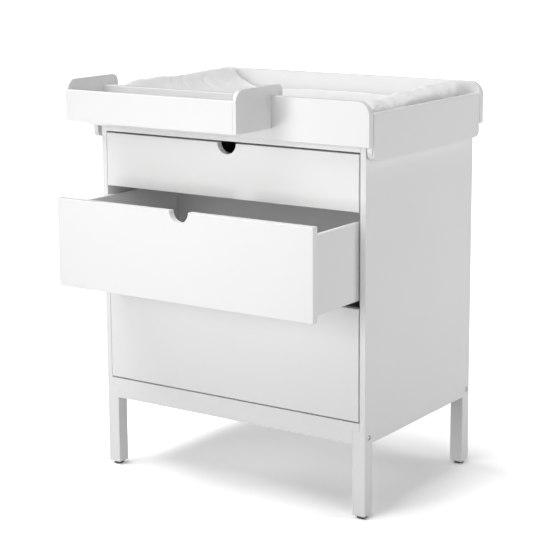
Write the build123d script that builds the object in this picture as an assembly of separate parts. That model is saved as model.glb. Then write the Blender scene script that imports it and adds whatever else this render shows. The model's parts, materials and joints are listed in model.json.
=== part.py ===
from build123d import *
import math
import os

# Changing table: a chest of three drawers on square legs, with a lift-off changing tray on top,
# a caddy hooked over the tray's front wall and a contoured pad.
# Millimetres, +X right, +Y to the back, +Z up. The origin is on the floor, under the middle of the
# whole footprint with the middle drawer drawn out.

# Chest
WIDTH = 800.0              # over the side panels
DEPTH = 535.0              # of the side panels
BOARD = 16.0               # side and top panels
EDGE = 1.5                 # eased edge of painted board
SIDE_BOTTOM = 188.0        # underside of side panels and rails, above the floor
LEG = 36.0                 # square section
LEG_TOP = 222.0
OPENING_BOTTOM = 242.0     # top of the rails
RAIL = 28.0                # rail thickness
BACK_BOARD = 6.0
BACK_INSET = 10.0          # back panel in from the rear edges
GROOVE = 6.0               # depth of the back panel's grooves
GLIDE_HEIGHT = 8.0
GLIDE_RADIUS = 13.0

# Leg fittings, dowels and screws
BOLT_RADIUS = 3.0
BOLT_REACH = 52.0          # of the bolt past the leg, into the rail
BOLT_HEAD_RADIUS = 6.5
BOLT_HEAD = 2.6
BOLT_HEAD_EDGE = 0.8
SOCKET = 4.0               # hexagon across its corners, halved
SOCKET_DEPTH = 2.0
NUT_RADIUS = 5.0
NUT_LENGTH = 20.0
NUT_BACK = 38.0            # nut axis in from the rail's shoulder
FIT = 0.1                  # radial room round bolts and screws
DOWEL_RADIUS = 4.0
DOWEL_LENGTH = 30.0
DOWEL_IN_SIDE = 11.0
DOWEL_FROM_EDGE = 60.0     # outer dowels of the top panel, in from its front and back
SCREW_RADIUS = 2.0
SCREW_LENGTH = 13.0
SCREW_HEAD_RADIUS = 3.5
SCREW_HEAD = 1.2

# Drawers, listed from the floor up
FRONT_HEIGHTS = {"bottom": 279.0, "middle": 225.0, "top": 138.0}
MIDDLE_DRAWN_OUT = 198.0
REVEAL = 4.0               # gap above and below each drawer front
SIDE_REVEAL = 2.5          # gap at its ends
FRONT_BOARD = 18.0
FRONT_PROUD = 2.0          # fronts stand this far out of the carcass
NOTCH_RADIUS = 28.0        # half-moon finger notch
BOX_BOARD = 12.0           # drawer sides and back
BOX_LENGTH = 470.0
BOX_SIDE_GAP = 5.0         # between a drawer side and the side panel
BOX_BELOW_TOP = 20.0       # drawer sides below the top of the front
BOX_ABOVE_BOTTOM = 16.0    # drawer sides above the bottom of the front
BOTTOM_BOARD = 6.0
BOTTOM_UP = 13.0           # bottom panel above the lower edge of the sides
BOTTOM_GROOVE = 5.0

# Concealed roller runners, of folded steel strip
STRIP = 1.6
BEND = 1.6                 # bend radius at the middle of the strip
RUNNER_LENGTH = 455.0
RUNNER_SETBACK = 22.0      # front end behind the carcass front
RUNNER_FLANGE = 14.0       # flange above the drawer side's lower edge
RUNNER_WEB_DROP = 4.0      # web below the drawer side's lower edge
RUNNER_RAIL_X = 40.5       # upright rail in from the side panel
RUNNER_RAIL_TOP = 9.5
CHANNEL_HALF = 10.0        # drawer channel, half its width at the middle of the strip
CHANNEL_DROP = -1.5        # lower edge of the channel from the drawer side's lower edge
CHANNEL_IN = 35.5          # channel centre in from the side panel
ROLLER_RADIUS = 4.5
ROLLER_WIDTH = 9.0
ROLLER_GAP = 0.3
ROLLER_FROM_END = 16.0
PIN_RADIUS = 1.5
SCREW_STATIONS = (40.0, 200.0, 400.0)

# Changing tray
TRAY_HALF = 423.0          # half its width
TRAY_PROUD_FRONT = 24.5    # front wall's face in front of the carcass
TRAY_PROUD_BACK = 11.0
TRAY_WALL = 18.0           # front and back walls
TRAY_SIDE = 16.0           # side walls
TRAY_END_TOP = 107.0       # top of the front and back walls above the carcass
TRAY_SIDE_TOP = 79.0
TRAY_FLANGE = 33.0         # side walls hang this far below the carcass top
TRAY_FLOOR = 10.0
TRAY_REBATE = 5.0
TRAY_CORNER = 33.0         # upper corners of the front and back walls
TRAY_FLANGE_CORNER = 22.0
TRAY_JOINT_GAP = 4.0       # shadow gap where a side wall meets an end wall
TRAY_JOINT_DEPTH = 3.5
TRAY_DOWEL_HEIGHTS = (32.0, 60.0)
TRAY_DOWEL_IN_WALL = 10.0
TOP_EDGE = 3.0             # rounded upper edge of the tray's and the caddy's boards

# Caddy on the tray's front wall
CADDY_LEFT = -370.0
CADDY_RIGHT = 151.0
CADDY_DEPTH = 147.0        # in front of the wall
CADDY_BOARD = 10.0
CADDY_FLOOR = 6.0
CADDY_DROP = 78.0          # underside below the wall's top
CADDY_FRONT_HEIGHT = 79.0
CADDY_SIDE_RISE = 25.0     # sides above the wall's top
CADDY_CORNER = 28.0
CADDY_EDGE = 1.0
CADDY_HOOK = 48.5          # hook's end behind the wall's face
CADDY_HOOK_CORNER = 20.0
CADDY_LIP = 24.0           # hook's lip below the wall's top
SEAT_GAP = 0.4             # room between the caddy and the wall

# Pad
PAD_HALF = 391.0           # half its width at the base
PAD_FRONT_GAP = 34.0       # behind the front wall, clear of the hooks
PAD_BACK_GAP = 6.0
PAD_LIFT = 0.3
PAD_ROLL = 104.0           # height of the side rolls
PAD_ROLL_WIDTH = 62.0
PAD_ROLL_PEAK = 0.43       # top of a roll, as a share of its width
PAD_OUTER_SEAM = 0.74      # seams beside a roll, as shares of its height
PAD_INNER_SEAM = 0.78
PAD_SLOPE = 150.0          # foot of the inner slope, in from the edge
PAD_SLOPE_DIP = 0.68       # where the slope sinks most, as a share of it
PAD_MIDDLE = 44.0          # thickness between the slopes
PAD_CROWN = 6.0
PAD_BULGE = 6.0
PAD_BULGE_HEIGHT = 0.4     # widest point of the sides, as a share of the height
PAD_DRAW_IN = 4.0          # sides drawn in between the corners
PAD_END_ROUND = 42.0       # length of the rounding at the front and back ends
PAD_END_NARROW = 10.5      # drawn in at the corners
PAD_END_FACE = 0.4         # height of an end's flat face, as a share of the full height
PAD_END_STEPS = 5

HALF = WIDTH / 2
INNER = HALF - BOARD
OPENING_TOP = OPENING_BOTTOM + sum(FRONT_HEIGHTS.values()) + (len(FRONT_HEIGHTS) + 1) * REVEAL
CARCASS_TOP = OPENING_TOP + BOARD
FOOTPRINT = MIDDLE_DRAWN_OUT + FRONT_PROUD + DEPTH + TRAY_PROUD_BACK
FRONT_Y = MIDDLE_DRAWN_OUT + FRONT_PROUD - FOOTPRINT / 2
BACK_Y = FRONT_Y + DEPTH
MID_Y = (FRONT_Y + BACK_Y) / 2
BACK_PANEL_Y = BACK_Y - BACK_INSET - BACK_BOARD

BOX_OUTER = INNER - BOX_SIDE_GAP
BOX_INNER = BOX_OUTER - BOX_BOARD
DRAWER_FACE_Y = FRONT_Y - FRONT_PROUD
BOX_FRONT_Y = DRAWER_FACE_Y + FRONT_BOARD
BOX_BACK_Y = BOX_FRONT_Y + BOX_LENGTH
RUNNER_FRONT_Y = FRONT_Y + RUNNER_SETBACK
RUNNER_BACK_Y = RUNNER_FRONT_Y + RUNNER_LENGTH

TRAY_FRONT_Y = FRONT_Y - TRAY_PROUD_FRONT
TRAY_BACK_Y = BACK_Y + TRAY_PROUD_BACK
TRAY_INNER = TRAY_HALF - TRAY_SIDE
TRAY_INNER_FRONT_Y = TRAY_FRONT_Y + TRAY_WALL
TRAY_INNER_BACK_Y = TRAY_BACK_Y - TRAY_WALL
WALL_TOP = CARCASS_TOP + TRAY_END_TOP
FLOOR_TOP = CARCASS_TOP + TRAY_FLOOR


def block(x0, x1, y0, y1, z0, z1):
    """Board between two corners."""
    centre = Pos((x0 + x1) / 2, (y0 + y1) / 2, (z0 + z1) / 2)
    return centre * Box(abs(x1 - x0), y1 - y0, z1 - z0)


def rod_x(radius, x0, x1, y, z):
    """Round bar along X."""
    return Pos((x0 + x1) / 2, y, z) * Rot(0, 90, 0) * Cylinder(radius, abs(x1 - x0))


def rod_y(radius, x, y0, y1, z):
    """Round bar along Y."""
    return Pos(x, (y0 + y1) / 2, z) * Rot(90, 0, 0) * Cylinder(radius, y1 - y0)


def across(shape):
    """The same shape on the other side of the chest, left for right."""
    return mirror(shape, Plane.YZ)


def to_back(shape):
    """The same shape at the other end of the carcass, front for back."""
    return mirror(shape, Plane.XZ.offset(-MID_Y))


def edges_at(shape, along, towards, last=True):
    """Edges parallel to one axis that lie furthest along another."""
    return shape.edges().filter_by(along).group_by(towards)[-1 if last else 0]


def save(name, shape):
    export_step(shape, f"parts/{name}.step")


def save_group(name, solids):
    """Separate solids that share one node."""
    save(name, Compound(list(solids)))


def save_pair(left_name, right_name, right):
    save(right_name, right)
    save(left_name, across(right))


def drawer_levels():
    """Name, bottom and top of each drawer front, from the floor up."""
    levels = []
    bottom = OPENING_BOTTOM + REVEAL
    for name, height in FRONT_HEIGHTS.items():
        levels.append((name, bottom, bottom + height))
        bottom += height + REVEAL
    return levels


# Joinery shared by several boards

LEG_AXIS = LEG / 2
BOLT_Y = FRONT_Y + LEG_AXIS
BOLT_Z = (SIDE_BOTTOM + LEG_TOP) / 2
RAIL_SHOULDER = HALF - LEG
RAIL_DOWEL_Z = (LEG_TOP + OPENING_BOTTOM) / 2
TOP_DOWEL_Z = CARCASS_TOP - BOARD / 2
TOP_DOWEL_STATIONS = (FRONT_Y + DOWEL_FROM_EDGE, MID_Y, BACK_Y - DOWEL_FROM_EDGE)


def carcass_dowel(y, z, room=0.0):
    """Dowel between the right side panel and the board that meets it."""
    start = INNER + DOWEL_IN_SIDE
    return rod_x(DOWEL_RADIUS + room, start - DOWEL_LENGTH - room, start + room, y, z)


def rail_dowels(room=0.0):
    front = carcass_dowel(FRONT_Y + RAIL / 2, RAIL_DOWEL_Z, room)
    return [front, to_back(front)]


def top_dowels(room=0.0):
    return [carcass_dowel(y, TOP_DOWEL_Z, room) for y in TOP_DOWEL_STATIONS]


def runner_screw(y, z, room=0.0):
    """Pan-head screw through a runner's flange into the right side panel."""
    flange_face = INNER - STRIP
    shank = rod_x(SCREW_RADIUS + room, flange_face, flange_face + SCREW_LENGTH + room, y, z)
    head = rod_x(SCREW_HEAD_RADIUS + room, flange_face - SCREW_HEAD, flange_face, y, z)
    return shank + head


def runner_screws(box_bottom, room=0.0):
    height = box_bottom + RUNNER_FLANGE / 2
    return [runner_screw(RUNNER_FRONT_Y + s, height, room) for s in SCREW_STATIONS]


def leg_bolt():
    """Bolt through the front right leg into the end of the front rail, with a hexagon socket."""
    shank = rod_x(BOLT_RADIUS, RAIL_SHOULDER - BOLT_REACH, HALF, BOLT_Y, BOLT_Z)
    head = rod_x(BOLT_HEAD_RADIUS, HALF, HALF + BOLT_HEAD, BOLT_Y, BOLT_Z)
    head = chamfer(head.edges().group_by(Axis.X)[-1], BOLT_HEAD_EDGE)
    face = Plane(origin=(HALF + BOLT_HEAD, BOLT_Y, BOLT_Z), z_dir=(1, 0, 0))
    socket = extrude(face * RegularPolygon(SOCKET, 6), -SOCKET_DEPTH)
    return shank + head - socket


def barrel_nut():
    """Cross nut that the bolt screws into, entered from the rail's inner face."""
    x = RAIL_SHOULDER - NUT_BACK
    nut = rod_y(NUT_RADIUS, x, BOLT_Y - NUT_LENGTH / 2, BOLT_Y + NUT_LENGTH / 2, BOLT_Z)
    return nut - rod_x(BOLT_RADIUS + FIT, x - NUT_LENGTH, x + NUT_LENGTH, BOLT_Y, BOLT_Z)


# Carcass

def side_panel():
    """Right side panel, its lower corners cut out for the legs."""
    panel = block(INNER, HALF, FRONT_Y, BACK_Y, SIDE_BOTTOM, CARCASS_TOP)
    panel = fillet(panel.edges().filter_by(Axis.Z), EDGE)
    for y in (FRONT_Y, BACK_Y - LEG):
        panel -= block(INNER, HALF, y, y + LEG, SIDE_BOTTOM, LEG_TOP)
    groove_y = (BACK_PANEL_Y, BACK_PANEL_Y + BACK_BOARD)
    panel -= block(INNER, INNER + GROOVE, *groove_y, OPENING_BOTTOM, CARCASS_TOP)
    panel -= rail_dowels(FIT) + top_dowels(FIT)
    for _, bottom, _ in drawer_levels():
        panel -= runner_screws(bottom + BOX_ABOVE_BOTTOM, FIT)
    return panel


def top_panel():
    panel = block(-INNER, INNER, FRONT_Y, BACK_Y, OPENING_TOP, CARCASS_TOP)
    panel = fillet(edges_at(panel, Axis.X, Axis.Y, last=False), EDGE)
    groove_y = (BACK_PANEL_Y, BACK_PANEL_Y + BACK_BOARD)
    panel -= block(-INNER, INNER, *groove_y, OPENING_TOP, OPENING_TOP + GROOVE)
    for dowel in top_dowels(FIT):
        panel -= [dowel, across(dowel)]
    return panel


def back_panel():
    """Thin panel slid into grooves, standing on the rear rail."""
    reach = INNER + GROOVE - FIT
    top = OPENING_TOP + GROOVE - FIT
    return block(-reach, reach, BACK_PANEL_Y, BACK_PANEL_Y + BACK_BOARD, OPENING_BOTTOM, top)


def front_rail():
    """Rail between the legs, with ends that run over them to the side panels."""
    rail = block(-RAIL_SHOULDER, RAIL_SHOULDER, FRONT_Y, FRONT_Y + RAIL, SIDE_BOTTOM, LEG_TOP)
    rail = fillet(edges_at(rail, Axis.X, Axis.Z, last=False), EDGE)
    rail += block(-INNER, INNER, FRONT_Y, FRONT_Y + RAIL, LEG_TOP, OPENING_BOTTOM)
    nut_x = RAIL_SHOULDER - NUT_BACK
    bores = [
        rod_x(BOLT_RADIUS + FIT, RAIL_SHOULDER - BOLT_REACH - FIT, RAIL_SHOULDER, BOLT_Y, BOLT_Z),
        rod_y(NUT_RADIUS + FIT, nut_x, BOLT_Y - NUT_LENGTH / 2 - FIT, FRONT_Y + RAIL, BOLT_Z),
        rail_dowels(FIT)[0],
    ]
    for bore in bores:
        rail -= [bore, across(bore)]
    return rail


def leg():
    """Front right leg, flush with the side panel's face and bolted to the rail."""
    post = block(HALF - LEG, HALF, FRONT_Y, FRONT_Y + LEG, GLIDE_HEIGHT, LEG_TOP)
    post = chamfer(post.faces().sort_by(Axis.Z)[0].edges(), EDGE)
    post = fillet(post.edges().filter_by(Axis.Z), EDGE)
    return post - rod_x(BOLT_RADIUS + FIT, HALF - LEG, HALF, BOLT_Y, BOLT_Z)


def foot_glide():
    """Round glide under the front right leg, with a bevelled lower edge."""
    disc = Pos(HALF - LEG_AXIS, FRONT_Y + LEG_AXIS, GLIDE_HEIGHT / 2) * Cylinder(GLIDE_RADIUS, GLIDE_HEIGHT)
    return chamfer(disc.edges().group_by(Axis.Z)[0], EDGE)


def at_four_corners(shape):
    """Copies of the front right shape at every corner, named by corner."""
    return {
        "front_right": shape,
        "front_left": across(shape),
        "rear_right": to_back(shape),
        "rear_left": to_back(across(shape)),
    }


# Drawer runners

def folded_strip(points, y0, y1):
    """Steel strip folded along a line of points in X and Z, running from y0 to y1."""
    line = FilletPolyline(*points, radius=BEND)
    section = trace(line, STRIP)
    return extrude(Plane.XZ.offset(-y0) * section, -(y1 - y0))


def cabinet_runner(box_bottom):
    """Right runner on the side panel: flange, web under the drawer side, upright rail."""
    flange_x = INNER - STRIP / 2
    web_z = box_bottom - RUNNER_WEB_DROP
    rail_x = INNER - RUNNER_RAIL_X
    points = [
        (flange_x, box_bottom + RUNNER_FLANGE),
        (flange_x, web_z),
        (rail_x, web_z),
        (rail_x, box_bottom + RUNNER_RAIL_TOP),
    ]
    strip = folded_strip(points, RUNNER_FRONT_Y, RUNNER_BACK_Y)
    strip -= runner_screws(box_bottom, FIT)
    return strip - roller_pin(*fixed_roller_axis(box_bottom), FIT)


def drawer_runner(box_bottom):
    """Right runner under the drawer's bottom panel: a channel over the cabinet runner's rail."""
    centre = INNER - CHANNEL_IN
    low = box_bottom + CHANNEL_DROP
    high = box_bottom + BOTTOM_UP - STRIP / 2
    points = [
        (centre - CHANNEL_HALF, low),
        (centre - CHANNEL_HALF, high),
        (centre + CHANNEL_HALF, high),
        (centre + CHANNEL_HALF, low),
    ]
    strip = folded_strip(points, RUNNER_FRONT_Y, RUNNER_BACK_Y)
    return strip - roller_pin(*moving_roller_axis(box_bottom), FIT)


def fixed_roller_axis(box_bottom):
    """Start, direction along X, place along Y and height of the roller on the cabinet runner."""
    web_under = box_bottom + BOTTOM_UP - STRIP
    beside = INNER - RUNNER_RAIL_X + STRIP / 2
    return beside, 1, RUNNER_FRONT_Y + ROLLER_FROM_END, web_under - ROLLER_GAP - ROLLER_RADIUS


def moving_roller_axis(box_bottom):
    """The same for the roller on the drawer's channel, which runs on the cabinet runner's web."""
    web_top = box_bottom - RUNNER_WEB_DROP + STRIP / 2
    inside = INNER - CHANNEL_IN + CHANNEL_HALF - STRIP / 2
    return inside, -1, RUNNER_BACK_Y - ROLLER_FROM_END, web_top + ROLLER_GAP + ROLLER_RADIUS


def roller_pin(x, way, y, z, room=0.0):
    """Rivet of a roller, through the strip that carries it."""
    return rod_x(PIN_RADIUS + room, x - way * STRIP, x + way * ROLLER_GAP, y, z)


def roller(x, way, y, z):
    """Nylon roller beside its strip, with its rivet."""
    start = x + way * ROLLER_GAP
    return rod_x(ROLLER_RADIUS, start, start + way * ROLLER_WIDTH, y, z) + roller_pin(x, way, y, z)


# Drawers

def drawer_front(bottom, top):
    """Front with a half-moon finger notch in its upper edge and a groove for the bottom panel."""
    half = INNER - SIDE_REVEAL
    board = block(-half, half, DRAWER_FACE_Y, BOX_FRONT_Y, bottom, top)
    board -= rod_y(NOTCH_RADIUS, 0, DRAWER_FACE_Y, BOX_FRONT_Y, top)
    board = fillet(board.faces().sort_by(Axis.Y)[0].edges(), EDGE)
    groove_z = bottom + BOX_ABOVE_BOTTOM + BOTTOM_UP
    reach = BOX_INNER + BOTTOM_GROOVE
    groove_y = (BOX_FRONT_Y - BOTTOM_GROOVE, BOX_FRONT_Y)
    return board - block(-reach, reach, *groove_y, groove_z, groove_z + BOTTOM_BOARD)


def drawer_side(box_bottom, box_top):
    """Right side, grooved for the bottom panel."""
    board = block(BOX_INNER, BOX_OUTER, BOX_FRONT_Y, BOX_BACK_Y, box_bottom, box_top)
    board = fillet(edges_at(board, Axis.Y, Axis.Z), EDGE)
    groove_z = box_bottom + BOTTOM_UP
    return board - block(
        BOX_INNER, BOX_INNER + BOTTOM_GROOVE, BOX_FRONT_Y, BOX_BACK_Y, groove_z, groove_z + BOTTOM_BOARD
    )


def drawer_back(box_bottom, box_top):
    low = box_bottom + BOTTOM_UP + BOTTOM_BOARD
    board = block(-BOX_INNER, BOX_INNER, BOX_BACK_Y - BOX_BOARD, BOX_BACK_Y, low, box_top)
    return fillet(edges_at(board, Axis.X, Axis.Z), EDGE)


def drawer_bottom(box_bottom):
    """Thin panel in the grooves of the sides and the front, under the back."""
    reach = BOX_INNER + BOTTOM_GROOVE - FIT
    low = box_bottom + BOTTOM_UP
    return block(-reach, reach, BOX_FRONT_Y - BOTTOM_GROOVE + FIT, BOX_BACK_Y, low, low + BOTTOM_BOARD)


def save_drawer(name, bottom, top):
    """One drawer, its runners and its rollers, placed as far out as it is stored."""
    out = Pos(0, -MIDDLE_DRAWN_OUT if name == "middle" else 0, 0)
    box_bottom = bottom + BOX_ABOVE_BOTTOM
    box_top = top - BOX_BELOW_TOP
    wheel = roller(*moving_roller_axis(box_bottom))
    save(f"{name}_drawer_front", out * drawer_front(bottom, top))
    save(f"{name}_drawer_back", out * drawer_back(box_bottom, box_top))
    save(f"{name}_drawer_bottom", out * drawer_bottom(box_bottom))
    save_pair(f"{name}_drawer_left_side", f"{name}_drawer_right_side", out * drawer_side(box_bottom, box_top))
    save_pair(f"{name}_drawer_left_runner", f"{name}_drawer_right_runner", out * drawer_runner(box_bottom))
    save_group(f"{name}_drawer_rollers", [out * wheel, out * across(wheel)])


# Changing tray

def tray_dowel(height, room=0.0):
    """Dowel between the front wall and the right side wall."""
    end = TRAY_INNER_FRONT_Y - TRAY_DOWEL_IN_WALL
    x = TRAY_HALF - TRAY_SIDE / 2
    return rod_y(DOWEL_RADIUS + room, x, end - room, end + DOWEL_LENGTH + room, CARCASS_TOP + height)


def tray_dowels(room=0.0):
    front = [tray_dowel(height, room) for height in TRAY_DOWEL_HEIGHTS]
    return front + [tray_mirror(dowel) for dowel in front]


def tray_mirror(shape):
    """The same shape at the other end of the tray, front for back."""
    return mirror(shape, Plane.XZ.offset(-(TRAY_FRONT_Y + TRAY_BACK_Y) / 2))


def tray_front_wall():
    """End wall with rounded upper corners, rebated for the floor."""
    wall = block(-TRAY_HALF, TRAY_HALF, TRAY_FRONT_Y, TRAY_INNER_FRONT_Y, CARCASS_TOP, WALL_TOP)
    wall = fillet(edges_at(wall, Axis.Y, Axis.Z), TRAY_CORNER)
    faces = wall.faces().sort_by(Axis.Y)
    wall = fillet(faces[0].edges() + faces[-1].edges(), EDGE)
    reach = TRAY_INNER + TRAY_REBATE
    rebate_y = (TRAY_INNER_FRONT_Y - TRAY_REBATE, TRAY_INNER_FRONT_Y)
    wall -= block(-reach, reach, *rebate_y, CARCASS_TOP, FLOOR_TOP)
    for height in TRAY_DOWEL_HEIGHTS:
        wall -= [tray_dowel(height, FIT), across(tray_dowel(height, FIT))]
    return wall


def tray_side_wall():
    """Right side wall, hanging below the carcass top with rounded lower corners."""
    low, high = CARCASS_TOP - TRAY_FLANGE, CARCASS_TOP + TRAY_SIDE_TOP
    wall = block(TRAY_INNER, TRAY_HALF, TRAY_INNER_FRONT_Y, TRAY_INNER_BACK_Y, low, high)
    wall = fillet(edges_at(wall, Axis.X, Axis.Z, last=False), TRAY_FLANGE_CORNER)
    wall = fillet(edges_at(wall, Axis.Y, Axis.Z), TOP_EDGE)
    for end in (TRAY_INNER_FRONT_Y, TRAY_INNER_BACK_Y - TRAY_JOINT_GAP):
        wall -= block(TRAY_HALF - TRAY_JOINT_DEPTH, TRAY_HALF, end, end + TRAY_JOINT_GAP, low, high)
    rebate_x = (TRAY_INNER, TRAY_INNER + TRAY_REBATE)
    wall -= block(*rebate_x, TRAY_INNER_FRONT_Y, TRAY_INNER_BACK_Y, CARCASS_TOP, FLOOR_TOP)
    return wall - tray_dowels(FIT)


def tray_floor():
    reach = TRAY_INNER + TRAY_REBATE - FIT
    front, back = TRAY_INNER_FRONT_Y - TRAY_REBATE + FIT, TRAY_INNER_BACK_Y + TRAY_REBATE - FIT
    return block(-reach, reach, front, back, CARCASS_TOP, FLOOR_TOP)


# Caddy

CADDY_BOTTOM = WALL_TOP - CADDY_DROP
CADDY_FRONT_Y = TRAY_FRONT_Y - CADDY_DEPTH
CADDY_BACK_Y = TRAY_FRONT_Y - SEAT_GAP
CADDY_INNER = (CADDY_LEFT + CADDY_BOARD, CADDY_RIGHT - CADDY_BOARD)


def caddy_side(x):
    """Side board whose upper edge runs back over the wall and hooks down behind it."""
    top = WALL_TOP + CADDY_SIDE_RISE
    hook_end = TRAY_FRONT_Y + CADDY_HOOK
    thick = (x, x + CADDY_BOARD)
    side = block(*thick, CADDY_FRONT_Y, hook_end, CADDY_BOTTOM, top)
    side -= block(*thick, CADDY_BACK_Y, hook_end, CADDY_BOTTOM, WALL_TOP - CADDY_LIP)
    side -= block(*thick, CADDY_BACK_Y, TRAY_INNER_FRONT_Y + SEAT_GAP, CADDY_BOTTOM, WALL_TOP)
    upper = edges_at(side, Axis.X, Axis.Z).sort_by(Axis.Y)
    side = fillet(upper[0], CADDY_CORNER)
    upper = edges_at(side, Axis.X, Axis.Y)
    side = fillet(upper.sort_by(Axis.Z)[-1], CADDY_HOOK_CORNER)
    faces = side.faces().sort_by(Axis.X)
    return fillet(faces[0].edges() + faces[-1].edges(), CADDY_EDGE)


def caddy_cross_board(y):
    """Front or back board between the sides, starting at y."""
    top = CADDY_BOTTOM + CADDY_FRONT_HEIGHT
    board = block(*CADDY_INNER, y, y + CADDY_BOARD, CADDY_BOTTOM, top)
    return fillet(edges_at(board, Axis.X, Axis.Z), TOP_EDGE)


def caddy_floor():
    front, back = CADDY_FRONT_Y + CADDY_BOARD, CADDY_BACK_Y - CADDY_BOARD
    return block(*CADDY_INNER, front, back, CADDY_BOTTOM, CADDY_BOTTOM + CADDY_FLOOR)


# Pad

def shoulder(top, end):
    """Point midway along the arc that leaves the top of a roll level and comes down to end."""
    run = end[0] - top[0]
    drop = top[1] - end[1]
    half_turn = math.atan2(drop, abs(run))
    radius = run / math.sin(2 * half_turn)
    return top[0] + radius * math.sin(half_turn), top[1] - abs(radius) * (1 - math.cos(half_turn))


def pad_section(y, half, swell):
    """Closed outline across the pad: flat base, a roll at each side, a shallow crown between."""
    base = FLOOR_TOP + PAD_LIFT
    roll = PAD_ROLL * swell
    middle = PAD_MIDDLE * swell
    roll_top = (half - PAD_ROLL_PEAK * PAD_ROLL_WIDTH, roll)
    outer_seam = (half - PAD_BULGE, PAD_OUTER_SEAM * roll)
    inner_seam = (half - PAD_ROLL_WIDTH, PAD_INNER_SEAM * roll)
    slope_foot = (half - PAD_SLOPE, middle)
    slope_dip = (half - PAD_SLOPE_DIP * PAD_SLOPE, (inner_seam[1] + middle) / 2 - PAD_CROWN)

    def arcs(side):
        def arc(*points):
            return ThreePointArc(*[(side * x, y, base + z) for x, z in points])

        return [
            arc((half, 0), (half + PAD_BULGE, PAD_BULGE_HEIGHT * roll), outer_seam),
            arc(outer_seam, shoulder(roll_top, outer_seam), roll_top),
            arc(roll_top, shoulder(roll_top, inner_seam), inner_seam),
            arc(inner_seam, slope_dip, slope_foot),
        ]

    underside = Line((-half, y, base), (half, y, base))
    foot_x = slope_foot[0]
    foot_z = base + middle
    crown = ThreePointArc((foot_x, y, foot_z), (0, y, foot_z + PAD_CROWN), (-foot_x, y, foot_z))
    return Wire([underside, *arcs(1), crown, *arcs(-1)])


def changing_pad():
    """Loft from front to back: each end swells up in a quarter round, sides drawn in at the middle."""
    front = TRAY_INNER_FRONT_Y + PAD_FRONT_GAP
    back = TRAY_INNER_BACK_Y - PAD_BACK_GAP
    front_end = []
    back_end = []
    for step in range(PAD_END_STEPS):
        turn = math.pi / 2 * step / (PAD_END_STEPS - 1)
        inset = PAD_END_ROUND * (1 - math.cos(turn))
        swell = PAD_END_FACE + (1 - PAD_END_FACE) * math.sin(turn)
        half = PAD_HALF - PAD_END_NARROW * (1 - math.sin(turn))
        front_end.append(pad_section(front + inset, half, swell))
        back_end.append(pad_section(back - inset, half, swell))
    middle = pad_section((front + back) / 2, PAD_HALF - PAD_DRAW_IN, 1.0)
    return Solid.make_loft([*front_end, middle, *reversed(back_end)], ruled=True)


os.makedirs("parts", exist_ok=True)

save_pair("side_panel_left", "side_panel_right", side_panel())
save("top_panel", top_panel())
save("back_panel", back_panel())
save("front_rail", front_rail())
save("rear_rail", to_back(front_rail()))
for corner, post in at_four_corners(leg()).items():
    save(f"{corner}_leg", post)
save_group("foot_glides", at_four_corners(foot_glide()).values())
save_group("leg_bolts", at_four_corners(leg_bolt()).values())
save_group("barrel_nuts", at_four_corners(barrel_nut()).values())
right_dowels = rail_dowels() + top_dowels()
save_group("carcass_dowels", right_dowels + [across(dowel) for dowel in right_dowels])

fixed_rollers = []
flange_screws = []
for drawer, low, high in drawer_levels():
    lower_edge = low + BOX_ABOVE_BOTTOM
    save_pair(f"{drawer}_left_cabinet_runner", f"{drawer}_right_cabinet_runner", cabinet_runner(lower_edge))
    save_drawer(drawer, low, high)
    fixed_rollers.append(roller(*fixed_roller_axis(lower_edge)))
    flange_screws += runner_screws(lower_edge)
save_group("cabinet_rollers", fixed_rollers + [across(wheel) for wheel in fixed_rollers])
save_group("runner_screws", flange_screws + [across(screw) for screw in flange_screws])

save("tray_front_wall", tray_front_wall())
save("tray_back_wall", tray_mirror(tray_front_wall()))
save_pair("tray_left_wall", "tray_right_wall", tray_side_wall())
save("tray_floor", tray_floor())
save_group("tray_dowels", tray_dowels() + [across(dowel) for dowel in tray_dowels()])

save("caddy_front", caddy_cross_board(CADDY_FRONT_Y))
save("caddy_back", caddy_cross_board(CADDY_BACK_Y - CADDY_BOARD))
save("caddy_floor", caddy_floor())
save("caddy_left_side", caddy_side(CADDY_LEFT))
save("caddy_right_side", caddy_side(CADDY_RIGHT - CADDY_BOARD))

save("changing_pad", changing_pad())
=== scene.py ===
import json
import math

import bmesh
import bpy
from mathutils import Matrix, Vector, noise


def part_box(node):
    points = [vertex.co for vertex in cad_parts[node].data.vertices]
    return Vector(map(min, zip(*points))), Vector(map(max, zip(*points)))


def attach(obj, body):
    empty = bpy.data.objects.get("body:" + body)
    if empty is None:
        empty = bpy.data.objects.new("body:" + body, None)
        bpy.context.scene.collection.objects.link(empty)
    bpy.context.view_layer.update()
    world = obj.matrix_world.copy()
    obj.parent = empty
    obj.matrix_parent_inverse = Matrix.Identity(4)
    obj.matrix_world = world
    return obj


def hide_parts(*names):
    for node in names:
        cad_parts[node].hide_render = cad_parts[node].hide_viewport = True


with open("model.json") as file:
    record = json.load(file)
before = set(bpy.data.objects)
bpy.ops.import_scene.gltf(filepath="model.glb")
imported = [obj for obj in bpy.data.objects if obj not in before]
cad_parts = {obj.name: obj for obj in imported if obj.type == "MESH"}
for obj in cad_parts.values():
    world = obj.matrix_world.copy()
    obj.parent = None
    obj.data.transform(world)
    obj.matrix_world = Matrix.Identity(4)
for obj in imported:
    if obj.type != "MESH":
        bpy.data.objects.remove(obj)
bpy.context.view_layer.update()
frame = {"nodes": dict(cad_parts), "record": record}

# Changing table, dressed: painted boards, plated runners, bolts, glides and a soft pad.
# Metres and degrees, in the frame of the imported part: +X right, +Y to the back, +Z up.

NODES = frame["nodes"]
SLOT_OF_NODE = {row["node"]: row["material_slot"] for row in frame["record"]["subparts"]}

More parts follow.
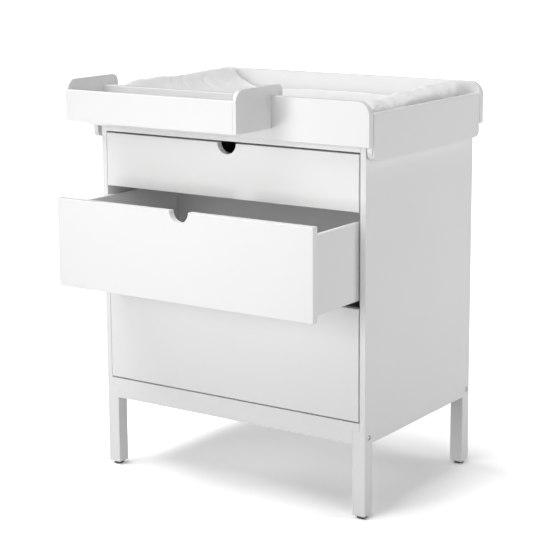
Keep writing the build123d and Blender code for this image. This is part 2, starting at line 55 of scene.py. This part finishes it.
# Camera
CAMERA_PLACE = (2.3963, -3.4852, 1.4534)
CAMERA_TURN = 34.15          # to the left of straight ahead
CAMERA_TILT = 10.5           # below level
CAMERA_ROLL = 0.32
CAMERA_LENS = 108.6          # millimetres
CAMERA_SENSOR = 36.0         # millimetres
CAMERA_SHIFT = -0.099        # share of the frame
CAMERA_SEES_TO = 500.0

# Studio
FLOOR_HALF = 60.0
FLOOR_BOUNCE = 0.55          # share of light that the floor throws back onto the table
FLOOR_SEEN = 1.72            # how pale the camera sees it
FLOOR_TONE_SPAN = 0.01
SKY_WHITE = (1.0, 1.0, 1.0, 1.0)
SKY_STRENGTH = 0.04
SUNS = {
    # name: turn from straight in front towards the left, height, strength, width across the sky
    "low_key": (15.0, 12.0, 1.0, 30.0),
    "high_key": (40.0, 70.0, 1.87, 38.0),
    "left_fill": (90.0, 12.0, 1.2, 30.0),
    "high_left_fill": (90.0, 60.0, 0.23, 38.0),
    "right_fill": (-60.0, 12.0, 0.69, 30.0),
    "right_rim": (-131.0, 12.0, 0.25, 30.0),
    "rear_fill": (180.0, 70.0, 0.25, 38.0),
}
SOFTBOXES = {
    # name: turn and height as for the suns, distance from the point aimed at, size, power,
    # height of that point, spread of the beam
    "low_front_softbox": (15.0, -8.0, 3.5, 0.6, 1.2, 0.97, 38.0),
    "low_right_softbox": (-115.0, 0.0, 2.6, 1.0, 10.4, 0.5, 180.0),
}

# Finishes: a scale is about the number of features to a metre, a depth is in metres
BOARD_WHITE = (0.86, 0.86, 0.855)
PAINTS = {
    # slot: colour, colour along the edges, roughness, scale and depth of the orange peel, clear coat
    "white_board": (BOARD_WHITE, (0.82, 0.82, 0.8), 0.38, 420.0, 0.00006, 0.08),
    "white_leg": (BOARD_WHITE, (0.81, 0.81, 0.79), 0.42, 300.0, 0.00008, 0.05),
    "white_drawer_board": ((0.84, 0.84, 0.84), (0.82, 0.82, 0.81), 0.5, 800.0, 0.00003, 0.0),
    "white_thin_board": ((0.83, 0.83, 0.82), (0.8, 0.79, 0.77), 0.55, 650.0, 0.00008, 0.0),
}
COAT_ROUGHNESS = 0.25
METALS = {
    # slot: colour, roughness, scale and depth of the drawn lines
    "zinc_steel": ((0.62, 0.63, 0.65), 0.36, 900.0, 0.00002),
    "chrome": ((0.82, 0.82, 0.83), 0.26, 1600.0, 0.000004),
}
LINE_STRETCH = (1.0, 0.03, 1.0)        # drawn lines are long along Y, as the runners are
PLASTICS = {
    # slot: colour, roughness, depth of the grain
    "nylon": ((0.78, 0.77, 0.73), 0.48, 0.00004),
    "glide": ((0.11, 0.11, 0.11), 0.58, 0.00006),
}
BEECH_COLOUR = (0.62, 0.43, 0.26)
FIBRE_STRETCH = (0.12, 0.12, 1.0)      # every dowel lies level, along X or Y, and so do its fibres
FIBRE_DEPTH = 0.0002
COVER_COLOUR = (0.955, 0.955, 0.95)
COVER_SHEEN = 0.6
COVER_SHEEN_ROUGHNESS = 0.5
LOOP_DEPTH = 0.0006

# Filling of the pad
PAD_VOXEL = 0.006
PAD_SLACK = 0.005            # the pad starts this much smaller all round
PAD_PRESSURE = 4.0
PAD_FRAMES = 20
PAD_MOST_MOVE = 0.008        # the filling moves no point further than this
CLOTH_QUALITY = 5
CLOTH_MASS = 0.3
CLOTH_STIFFNESS = 15.0
SETTLE_PASSES = 6
SETTLE_FACTOR = 0.5

# Form of the pad: a pair for X is two shares of half the width, and the change runs from one to the other
BACK_START = 0.22            # from here to the back end the pad is pressed against the back wall
BACK_BLUNT = 2.4             # 1 would leave the end as round as it was
BACK_X = (0.9, 0.6)          # not pressed, fully pressed
PAD_CORNER = 0.055           # rounding of the corners in plan
SLUMP = 0.14                 # share of its height that the right roll has sunk at its front end
SLUMP_X = (0.6, 0.85)        # not sunk, fully sunk
SLUMP_Y = (0.27, -0.08)      # where the sinking starts, and where it is full
PROUD_LOW = Vector((0.004, 0.001, 0.0))     # how far the cover may pass the box of the solid pad
PROUD_HIGH = Vector((0.004, 0.003, 0.003))

# Lumps and folds of the pad: a grain turns a place into a place in the noise
ROLL_X = (0.5, 0.8)          # trough, roll
FLAT_FOOT = 0.02             # lumps and folds fade out over this height above the underside
LUMP = 0.0028                # unevenness of the filling
LUMP_IN_TROUGH = 0.35        # share of it in the trough; a roll adds the whole of it
LUMP_GRAIN = Matrix.Diagonal((12.0, 17.0, 12.0))
FOLD = 0.0024                # depth of the folds in the cover
FOLD_IN_TROUGH = 0.25        # share of it in the trough; a roll adds the whole of it
CROSS_GRAIN = Matrix.Diagonal((9.0, 24.0, 14.0))
CROSS_NARROW = 5.0           # higher is narrower
ASKEW_GRAIN = Matrix(((16.0, 7.0, 0.0), (-6.0, 15.0, 0.0), (0.0, 0.0, 9.0)))
ASKEW_START = Vector((0.0, 0.0, 4.0))
ASKEW_NARROW = 6.0
ASKEW_SHARE = 0.6            # depth of the folds that run askew beside those that run across

# Colour sockets of a Mix node, by number because its sockets share their names
MIX_FACTOR = 0
MIX_FIRST = 6
MIX_SECOND = 7
MIX_RESULT = 2


# Node building

def put(tree, kind, **values):
    """A new node; named values are set on the node or, failing that, on its input of that name."""
    node = tree.nodes.new(kind)
    for name, value in values.items():
        if hasattr(node, name):
            setattr(node, name, value)
        else:
            node.inputs[name.replace("_", " ")].default_value = value
    return node


def feed(tree, value, socket):
    """Links a socket to an input, or sets the input to a plain value."""
    if isinstance(value, bpy.types.NodeSocket):
        tree.links.new(value, socket)
    else:
        socket.default_value = value


def math_node(tree, operation, first, second):
    """A Math node whose inputs are sockets or plain numbers."""
    node = put(tree, "ShaderNodeMath", operation=operation)
    for socket, value in zip(node.inputs, (first, second)):
        feed(tree, value, socket)
    return node.outputs[0]


def new_group(name, inputs, outputs):
    """An empty shader node group with float inputs, given with their defaults, and named outputs."""
    group = bpy.data.node_groups.new(name, "ShaderNodeTree")
    for label, default in inputs.items():
        socket = group.interface.new_socket(label, in_out="INPUT", socket_type="NodeSocketFloat")
        socket.default_value = default
    for label in outputs:
        group.interface.new_socket(label, in_out="OUTPUT", socket_type="NodeSocketFloat")
    entry = group.nodes.new("NodeGroupInput")
    way_out = group.nodes.new("NodeGroupOutput")
    return group, entry.outputs, way_out.inputs


def noise_value(tree, where, scale, detail=2.0):
    """Noise from 0 to 1 over the surface."""
    node = put(tree, "ShaderNodeTexNoise", Detail=detail)
    feed(tree, where, node.inputs["Vector"])
    feed(tree, scale, node.inputs["Scale"])
    return node.outputs["Fac"]


def object_place(tree):
    """The place on the object, in metres."""
    return put(tree, "ShaderNodeTexCoord").outputs["Object"]


def stretched_place(tree, stretch):
    """The same, scaled along each axis; a small scale draws a pattern out along that axis."""
    node = put(tree, "ShaderNodeMapping", Scale=stretch)
    feed(tree, object_place(tree), node.inputs["Vector"])
    return node.outputs["Vector"]


def around_zero(tree, value, span):
    """A noise value, 0 to 1, turned into plus or minus half of span."""
    centred = math_node(tree, "SUBTRACT", value, 0.5)
    return math_node(tree, "MULTIPLY", centred, span)


# Effects, each a node group that the finishes place with values of their own

def make_paint_film():
    """Sprayed lacquer: fine orange peel, a longer wave, and clouds of tone and gloss."""
    group, given, gives = new_group(
        "paint_film",
        {
            "Peel Scale": 420.0,
            "Peel": 1.0,
            "Wave Scale": 45.0,
            "Wave": 0.5,
            "Cloud Scale": 5.0,
            "Speck Scale": 1600.0,
            "Speck": 0.25,
            "Tone Span": 0.03,
            "Gloss Span": 0.1,
            "Roughness": 0.4,
        },
        ("Tone", "Roughness", "Height"),
    )
    place = object_place(group)
    peel = noise_value(group, place, given["Peel Scale"])
    wave = noise_value(group, place, given["Wave Scale"])
    cloud = noise_value(group, place, given["Cloud Scale"], detail=4.0)
    speck = noise_value(group, place, given["Speck Scale"], detail=1.0)
    tone = around_zero(group, cloud, given["Tone Span"])
    feed(group, math_node(group, "ADD", 1.0, tone), gives["Tone"])
    mixed = math_node(group, "ADD", cloud, math_node(group, "MULTIPLY", speck, given["Speck"]))
    gloss = around_zero(group, mixed, given["Gloss Span"])
    feed(group, math_node(group, "ADD", given["Roughness"], gloss), gives["Roughness"])
    peel_height = math_node(group, "MULTIPLY", peel, given["Peel"])
    wave_height = math_node(group, "MULTIPLY", wave, given["Wave"])
    feed(group, math_node(group, "ADD", peel_height, wave_height), gives["Height"])
    return group


def make_edge_rub():
    """Mask that is highest along sharp and rounded edges and fades out a little way in from them."""
    group, given, gives = new_group(
        "edge_rub",
        {"Reach": 0.003, "Gain": 4.0, "Patch Scale": 90.0, "Breakup": 0.5},
        ("Edge",),
    )
    soft = put(group, "ShaderNodeBevel", samples=4)
    feed(group, given["Reach"], soft.inputs["Radius"])
    true_normal = put(group, "ShaderNodeNewGeometry").outputs["True Normal"]
    likeness = put(group, "ShaderNodeVectorMath", operation="DOT_PRODUCT")
    feed(group, soft.outputs["Normal"], likeness.inputs[0])
    feed(group, true_normal, likeness.inputs[1])
    bend = math_node(group, "SUBTRACT", 1.0, likeness.outputs["Value"])
    patch = noise_value(group, object_place(group), given["Patch Scale"], detail=3.0)
    broken = math_node(group, "MULTIPLY", patch, given["Breakup"])
    strength = math_node(group, "MULTIPLY", math_node(group, "SUBTRACT", 1.0, broken), given["Gain"])
    edge = math_node(group, "MULTIPLY", bend, strength)
    feed(group, math_node(group, "MINIMUM", edge, 1.0), gives["Edge"])
    return group


def make_rolled_metal():
    """Plated strip: drawn lines along the run and a faint crystal pattern."""
    group, given, gives = new_group(
        "rolled_metal",
        {
            "Line Scale": 900.0,
            "Crystal Scale": 160.0,
            "Tone Span": 0.12,
            "Roughness": 0.34,
            "Roughness Span": 0.16,
        },
        ("Tone", "Roughness", "Height"),
    )
    lines = noise_value(group, stretched_place(group, LINE_STRETCH), given["Line Scale"], detail=3.0)
    crystals = put(group, "ShaderNodeTexVoronoi")
    feed(group, object_place(group), crystals.inputs["Vector"])
    feed(group, given["Crystal Scale"], crystals.inputs["Scale"])
    shade = put(group, "ShaderNodeSeparateColor")
    feed(group, crystals.outputs["Color"], shade.inputs["Color"])
    tone = around_zero(group, shade.outputs["Red"], given["Tone Span"])
    feed(group, math_node(group, "ADD", 1.0, tone), gives["Tone"])
    rough = around_zero(group, lines, given["Roughness Span"])
    feed(group, math_node(group, "ADD", given["Roughness"], rough), gives["Roughness"])
    feed(group, lines, gives["Height"])
    return group


def make_moulded():
    """Moulded plastic: spark-eroded grain and faint flow marks."""
    group, given, gives = new_group(
        "moulded",
        {
            "Grain Scale": 1400.0,
            "Flow Scale": 60.0,
            "Tone Span": 0.1,
            "Roughness": 0.5,
            "Roughness Span": 0.15,
        },
        ("Tone", "Roughness", "Height"),
    )
    place = object_place(group)
    grain = noise_value(group, place, given["Grain Scale"])
    flow = noise_value(group, place, given["Flow Scale"], detail=3.0)
    tone = around_zero(group, flow, given["Tone Span"])
    feed(group, math_node(group, "ADD", 1.0, tone), gives["Tone"])
    rough = around_zero(group, grain, given["Roughness Span"])
    feed(group, math_node(group, "ADD", given["Roughness"], rough), gives["Roughness"])
    feed(group, grain, gives["Height"])
    return group


def make_wood_grain():
    """Beech: long fibres along the dowels with short dark flecks."""
    group, given, gives = new_group(
        "wood_grain",
        {
            "Fibre Scale": 240.0,
            "Fibre Tone": 0.5,
            "Fleck Scale": 900.0,
            "Fleck Tone": 0.2,
            "Roughness": 0.6,
            "Roughness Span": 0.2,
        },
        ("Tone", "Roughness", "Height"),
    )
    place = stretched_place(group, FIBRE_STRETCH)
    fibre = noise_value(group, place, given["Fibre Scale"], detail=6.0)
    fleck = noise_value(group, place, given["Fleck Scale"], detail=1.0)
    fibre_tone = around_zero(group, fibre, given["Fibre Tone"])
    fleck_tone = around_zero(group, fleck, given["Fleck Tone"])
    tone = math_node(group, "ADD", fibre_tone, fleck_tone)
    feed(group, math_node(group, "ADD", 1.0, tone), gives["Tone"])
    rough = around_zero(group, fibre, given["Roughness Span"])
    feed(group, math_node(group, "ADD", given["Roughness"], rough), gives["Roughness"])
    feed(group, fibre, gives["Height"])
    return group


def make_soft_knit():
    """Brushed cotton cover: small loops, loose fuzz, slow changes of tone, and painted shade in the
    valleys between the loops.
    """
    group, given, gives = new_group(
        "soft_knit",
        {
            "Loop Scale": 620.0,
            "Valley Shade": 0.04,
            "Fuzz Scale": 1900.0,
            "Fuzz": 0.5,
            "Slow Scale": 14.0,
            "Tone Span": 0.05,
            "Roughness": 0.85,
            "Roughness Span": 0.1,
        },
        ("Tone", "Roughness", "Height"),
    )
    place = object_place(group)
    loops = put(group, "ShaderNodeTexVoronoi", feature="SMOOTH_F1")
    feed(group, place, loops.inputs["Vector"])
    feed(group, given["Loop Scale"], loops.inputs["Scale"])
    fuzz = noise_value(group, place, given["Fuzz Scale"], detail=3.0)
    slow = noise_value(group, place, given["Slow Scale"], detail=3.0)
    loop_top = math_node(group, "SUBTRACT", 1.0, loops.outputs["Distance"])
    height = math_node(group, "ADD", loop_top, math_node(group, "MULTIPLY", fuzz, given["Fuzz"]))
    feed(group, height, gives["Height"])
    # painted shade: the tone grows darker in the valleys between the loops, away from their tops
    valley_shade = math_node(group, "MULTIPLY", loops.outputs["Distance"], given["Valley Shade"])
    tone = math_node(group, "SUBTRACT", around_zero(group, slow, given["Tone Span"]), valley_shade)
    feed(group, math_node(group, "ADD", 1.0, tone), gives["Tone"])
    rough = around_zero(group, fuzz, given["Roughness Span"])
    feed(group, math_node(group, "ADD", given["Roughness"], rough), gives["Roughness"])
    return group


PAINT_FILM = make_paint_film()
EDGE_RUB = make_edge_rub()
ROLLED_METAL = make_rolled_metal()
MOULDED = make_moulded()
WOOD_GRAIN = make_wood_grain()
SOFT_KNIT = make_soft_knit()


# Finishes, one for each material slot of the record

def new_finish(name):
    """A new material, with its node tree and its shader."""
    finish = bpy.data.materials.new(name)
    finish.use_nodes = True
    return finish, finish.node_tree, finish.node_tree.nodes["Principled BSDF"]


def place_group(tree, group, **values):
    """An effect placed in a finish, with some of its inputs set; gives its outputs."""
    return put(tree, "ShaderNodeGroup", node_tree=group, **values).outputs


def tint(tree, colour, tone):
    """A colour made lighter or darker by a value that changes over the surface."""
    node = put(tree, "ShaderNodeMix", data_type="RGBA", blend_type="MULTIPLY")
    node.inputs[MIX_FACTOR].default_value = 1.0
    node.inputs[MIX_FIRST].default_value = (*colour, 1.0)
    feed(tree, tone, node.inputs[MIX_SECOND])
    return node.outputs[MIX_RESULT]


def towards(tree, mask, start, colour):
    """A colour that goes from start to colour where the mask is 1."""
    node = put(tree, "ShaderNodeMix", data_type="RGBA")
    feed(tree, mask, node.inputs[MIX_FACTOR])
    feed(tree, start, node.inputs[MIX_FIRST])
    node.inputs[MIX_SECOND].default_value = (*colour, 1.0)
    return node.outputs[MIX_RESULT]


def raise_surface(tree, shader, height, depth):
    """Relief too fine to model, of a given depth where the height is 1."""
    bump = put(tree, "ShaderNodeBump", Distance=depth)
    feed(tree, height, bump.inputs["Height"])
    feed(tree, bump.outputs["Normal"], shader.inputs["Normal"])


def painted(name, colour, edge_colour, roughness, peel_scale, peel_depth, coat):
    """Painted board or wood, with the paint a little thinner along the edges."""
    finish, tree, shader = new_finish(name)
    film = place_group(tree, PAINT_FILM, Peel_Scale=peel_scale, Roughness=roughness)
    edge = place_group(tree, EDGE_RUB)
    body = tint(tree, colour, film["Tone"])
    feed(tree, towards(tree, edge["Edge"], body, edge_colour), shader.inputs["Base Color"])
    feed(tree, film["Roughness"], shader.inputs["Roughness"])
    raise_surface(tree, shader, film["Height"], peel_depth)
    shader.inputs["Coat Weight"].default_value = coat
    shader.inputs["Coat Roughness"].default_value = COAT_ROUGHNESS
    return finish


def metal(name, colour, roughness, line_scale, line_depth):
    """Plated or polished metal with drawn lines."""
    finish, tree, shader = new_finish(name)
    strip = place_group(tree, ROLLED_METAL, Line_Scale=line_scale, Roughness=roughness)
    feed(tree, tint(tree, colour, strip["Tone"]), shader.inputs["Base Color"])
    feed(tree, strip["Roughness"], shader.inputs["Roughness"])
    shader.inputs["Metallic"].default_value = 1.0
    raise_surface(tree, shader, strip["Height"], line_depth)
    return finish


def plastic(name, colour, roughness, grain_depth):
    """Moulded plastic of the rollers and the glides."""
    finish, tree, shader = new_finish(name)
    skin = place_group(tree, MOULDED, Roughness=roughness)
    feed(tree, tint(tree, colour, skin["Tone"]), shader.inputs["Base Color"])
    feed(tree, skin["Roughness"], shader.inputs["Roughness"])
    raise_surface(tree, shader, skin["Height"], grain_depth)
    return finish


def beech():
    """Bare wood of the dowels."""
    finish, tree, shader = new_finish("beech")
    wood = place_group(tree, WOOD_GRAIN)
    feed(tree, tint(tree, BEECH_COLOUR, wood["Tone"]), shader.inputs["Base Color"])
    feed(tree, wood["Roughness"], shader.inputs["Roughness"])
    raise_surface(tree, shader, wood["Height"], FIBRE_DEPTH)
    return finish


def pad_cover():
    """Brushed cotton of the pad."""
    finish, tree, shader = new_finish("pad_cover")
    cloth = place_group(tree, SOFT_KNIT)
    # the knit's tone holds painted shade in the valleys between its loops, as well as slow changes of
    # tone
    feed(tree, tint(tree, COVER_COLOUR, cloth["Tone"]), shader.inputs["Base Color"])
    feed(tree, cloth["Roughness"], shader.inputs["Roughness"])
    shader.inputs["Sheen Weight"].default_value = COVER_SHEEN
    shader.inputs["Sheen Roughness"].default_value = COVER_SHEEN_ROUGHNESS
    raise_surface(tree, shader, cloth["Height"], LOOP_DEPTH)
    return finish


def make_finishes():
    """Every finish, under the name of the material slot that wears it."""
    finishes = {"beech": beech(), "pad_cover": pad_cover()}
    for make, looks in ((painted, PAINTS), (metal, METALS), (plastic, PLASTICS)):
        for name, look in looks.items():
            finishes[name] = make(name, *look)
    return finishes


FINISHES = make_finishes()


def wear(piece, slot):
    """Gives a piece the finish of a slot, and no other."""
    piece.data.materials.clear()
    piece.data.materials.append(FINISHES[slot])


def dress_cad_nodes():
    """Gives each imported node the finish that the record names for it."""
    for name, piece in NODES.items():
        wear(piece, SLOT_OF_NODE[name])


# Pad

def link(obj):
    """Puts a new object into the scene."""
    bpy.context.scene.collection.objects.link(obj)
    return obj


def remeshed_copy(source, name, voxel):
    """A new object with an even mesh of the source's outer shape."""
    piece = link(bpy.data.objects.new(name, source.data.copy()))
    even = piece.modifiers.new("even", "REMESH")
    even.mode = "VOXEL"
    even.voxel_size = voxel
    graph = bpy.context.evaluated_depsgraph_get()
    mesh = bpy.data.meshes.new_from_object(piece.evaluated_get(graph))
    piece.modifiers.clear()
    piece.data = mesh
    return piece


def move_points(mesh, places):
    """Moves every point to its new place."""
    for v, place in zip(mesh.vertices, places):
        v.co = place


def draw_in(mesh, distance):
    """Moves every point inwards along its normal."""
    move_points(mesh, [v.co - v.normal * distance for v in mesh.vertices])


def inflate(piece):
    """Fills the pad like a cushion: cloth under pressure, held to a short way from where it started."""
    start = [v.co.copy() for v in piece.data.vertices]
    cloth = piece.modifiers.new("fill", "CLOTH")
    cloth.settings.quality = CLOTH_QUALITY
    cloth.settings.mass = CLOTH_MASS
    cloth.settings.tension_stiffness = CLOTH_STIFFNESS
    cloth.settings.compression_stiffness = CLOTH_STIFFNESS
    cloth.settings.use_pressure = True
    cloth.settings.uniform_pressure_force = PAD_PRESSURE
    cloth.settings.effector_weights.gravity = 0
    cloth.collision_settings.use_collision = False
    cloth.point_cache.frame_start = 1
    cloth.point_cache.frame_end = PAD_FRAMES
    scene = bpy.context.scene
    for step in range(1, PAD_FRAMES + 1):
        scene.frame_set(step)
    graph = bpy.context.evaluated_depsgraph_get()
    filled = [v.co.copy() for v in piece.evaluated_get(graph).data.vertices]
    piece.modifiers.remove(cloth)
    scene.frame_set(1)
    for v, before, after in zip(piece.data.vertices, start, filled):
        move = after - before
        if move.length > PAD_MOST_MOVE:
            move = move.normalized() * PAD_MOST_MOVE
        v.co = before + move


def settle(mesh):
    """Evens out the points, each towards the middle of its neighbours."""
    form = bmesh.new()
    form.from_mesh(mesh)
    every_axis = {"use_axis_x": True, "use_axis_y": True, "use_axis_z": True}
    for _ in range(SETTLE_PASSES):
        bmesh.ops.smooth_vert(form, verts=form.verts, factor=SETTLE_FACTOR, **every_axis)
    form.to_mesh(mesh)
    form.free()


def share(value, start, end):
    """How far value is from start to end, eased at both ends."""
    part = min(1.0, max(0.0, (value - start) / (end - start)))
    return part * part * (3 - 2 * part)


def share_of_width(x, half_width, shares):
    """The same for a place across the pad, where start and end are shares of half its width."""
    start, end = shares
    return share(x, start * half_width, end * half_width)


def press_back(mesh, high):
    """Pushes the back end out against the tray's back wall, and blunt; the right roll stays clear."""
    end = max(v.co.y for v in mesh.vertices)
    for v in mesh.vertices:
        part = (v.co.y - BACK_START) / (end - BACK_START)
        if part > 0:
            pressed = BACK_START + (high.y - BACK_START) * (1 - (1 - part) ** BACK_BLUNT)
            v.co.y += (pressed - v.co.y) * share_of_width(v.co.x, high.x, BACK_X)


def round_corners(mesh, low, high):
    """Rounds the outline in plan at its four corners."""
    middle = (low + high) / 2
    reach = (high - low) / 2
    for v in mesh.vertices:
        x, y = v.co.x - middle.x, v.co.y - middle.y
        past_x = (abs(x) - reach.x) / PAD_CORNER + 1
        past_y = (abs(y) - reach.y) / PAD_CORNER + 1
        if past_x > 0 and past_y > 0:
            squeeze = max(past_x, past_y) / math.hypot(past_x, past_y)
            v.co.x -= math.copysign(past_x * (1 - squeeze) * PAD_CORNER, x)
            v.co.y -= math.copysign(past_y * (1 - squeeze) * PAD_CORNER, y)


def slump(mesh, low, high):
    """Lets the right roll sink towards its front end, as soft filling does."""
    for v in mesh.vertices:
        sunk = SLUMP * share_of_width(v.co.x, high.x, SLUMP_X) * share(v.co.y, *SLUMP_Y)
        v.co.z = low.z + (v.co.z - low.z) * (1 - sunk)


def crease(value, narrow):
    """1 along the lines where a noise passes through 0, and 0 a little way from them."""
    return max(0.0, 1 - narrow * abs(value)) ** 2


def slacken(mesh, low, high):
    """Lumps of the filling and folds of the cover, most on the rolls and none underneath."""
    places = []
    for v in mesh.vertices:
        on_roll = share_of_width(abs(v.co.x), high.x, ROLL_X)
        off_floor = share(v.co.z, low.z, low.z + FLAT_FOOT)
        lump = noise.noise(LUMP_GRAIN @ v.co) * (LUMP_IN_TROUGH + on_roll)
        across = crease(noise.noise(CROSS_GRAIN @ v.co), CROSS_NARROW)
        askew = crease(noise.noise(ASKEW_GRAIN @ v.co + ASKEW_START), ASKEW_NARROW)
        fold = (across + ASKEW_SHARE * askew) * (FOLD_IN_TROUGH + on_roll)
        places.append(v.co + v.normal * (LUMP * lump - FOLD * fold) * off_floor)
    move_points(mesh, places)


def keep_inside(mesh, low, high):
    """Brings back every point that has passed the sides of a box."""
    for v in mesh.vertices:
        v.co = Vector(min(max(c, a), b) for c, a, b in zip(v.co, low, high))


def make_pad():
    """The soft pad, filled, pressed into the tray and slackened, in place of the solid one."""
    low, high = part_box("changing_pad")
    piece = remeshed_copy(NODES["changing_pad"], "soft_pad", PAD_VOXEL)
    draw_in(piece.data, PAD_SLACK)
    inflate(piece)
    settle(piece.data)
    press_back(piece.data, high)
    round_corners(piece.data, low, high)
    slump(piece.data, low, high)
    slacken(piece.data, low, high)
    keep_inside(piece.data, low - PROUD_LOW, high + PROUD_HIGH)
    for face in piece.data.polygons:
        face.use_smooth = True
    smooth = piece.modifiers.new("smooth", "SUBSURF")
    smooth.levels = 1
    smooth.render_levels = 1
    wear(piece, "pad_cover")
    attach(piece, "pad")
    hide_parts("changing_pad")


# Studio

def heading(turn, height):
    """Unit vector that points some way to the left of straight back, and some way above level."""
    turn, height = math.radians(turn), math.radians(height)
    level = math.cos(height)
    return Vector((-math.sin(turn) * level, math.cos(turn) * level, math.sin(height)))


def make_floor():
    """Plain pale floor, shown paler to the camera than the light that it throws back."""
    mesh = bpy.data.meshes.new("studio_floor")
    corners = [(x * FLOOR_HALF, y * FLOOR_HALF, 0.0) for x, y in ((-1, -1), (1, -1), (1, 1), (-1, 1))]
    mesh.from_pydata(corners, [], [(0, 1, 2, 3)])
    floor = link(bpy.data.objects.new("studio_floor", mesh))
    finish = bpy.data.materials.new("studio_floor")
    finish.use_nodes = True
    tree = finish.node_tree
    tree.nodes.clear()
    film = place_group(tree, PAINT_FILM, Tone_Span=FLOOR_TONE_SPAN)
    seen = put(tree, "ShaderNodeLightPath").outputs["Is Camera Ray"]
    bounce = tint(tree, (FLOOR_BOUNCE,) * 3, film["Tone"])
    shader = put(tree, "ShaderNodeBsdfDiffuse")
    feed(tree, towards(tree, seen, bounce, (FLOOR_SEEN,) * 3), shader.inputs["Color"])
    way_out = put(tree, "ShaderNodeOutputMaterial")
    feed(tree, shader.outputs["BSDF"], way_out.inputs["Surface"])
    mesh.materials.append(finish)


def make_sun(name, turn, height, strength, width):
    """Broad, even light from one direction."""
    data = bpy.data.lights.new(name, "SUN")
    data.energy = strength
    data.angle = math.radians(width)
    sun = link(bpy.data.objects.new(name, data))
    sun.rotation_euler = (math.radians(90 - height), 0.0, math.radians(-turn))


def make_softbox(name, turn, height, distance, size, power, aim, spread):
    """Square panel of light, aimed at a point on the table's upright axis."""
    data = bpy.data.lights.new(name, "AREA")
    data.size = size
    data.energy = power
    data.spread = math.radians(spread)
    box = link(bpy.data.objects.new(name, data))
    box.visible_camera = False
    away = heading(180 - turn, height)
    box.location = Vector((0.0, 0.0, aim)) + away * distance
    box.rotation_mode = "QUATERNION"
    box.rotation_quaternion = (-away).to_track_quat("-Z", "Y")


def make_light():
    """Suns, softboxes and a faint white sky."""
    scene = bpy.context.scene
    scene.world = bpy.data.worlds.new("studio")
    scene.world.use_nodes = True
    sky = scene.world.node_tree.nodes["Background"]
    sky.inputs["Color"].default_value = SKY_WHITE
    sky.inputs["Strength"].default_value = SKY_STRENGTH
    for name, settings in SUNS.items():
        make_sun(name, *settings)
    for name, settings in SOFTBOXES.items():
        make_softbox(name, *settings)
    scene.view_settings.view_transform = "Standard"


def make_camera():
    """Camera in front of the right corner, as in the photograph."""
    data = bpy.data.cameras.new("camera")
    data.sensor_width = CAMERA_SENSOR
    data.lens = CAMERA_LENS
    data.shift_y = CAMERA_SHIFT
    data.clip_end = CAMERA_SEES_TO
    camera = link(bpy.data.objects.new("camera", data))
    ahead = heading(CAMERA_TURN, -CAMERA_TILT)
    right = heading(CAMERA_TURN - 90, 0.0)
    up = right.cross(ahead)
    roll = math.radians(CAMERA_ROLL)
    side = right * math.cos(roll) - up * math.sin(roll)
    axes = Matrix((side, side.cross(ahead), -ahead)).transposed()
    camera.matrix_world = Matrix.Translation(CAMERA_PLACE) @ axes.to_4x4()
    bpy.context.scene.camera = camera


make_camera()
make_light()
make_floor()
dress_cad_nodes()
make_pad()
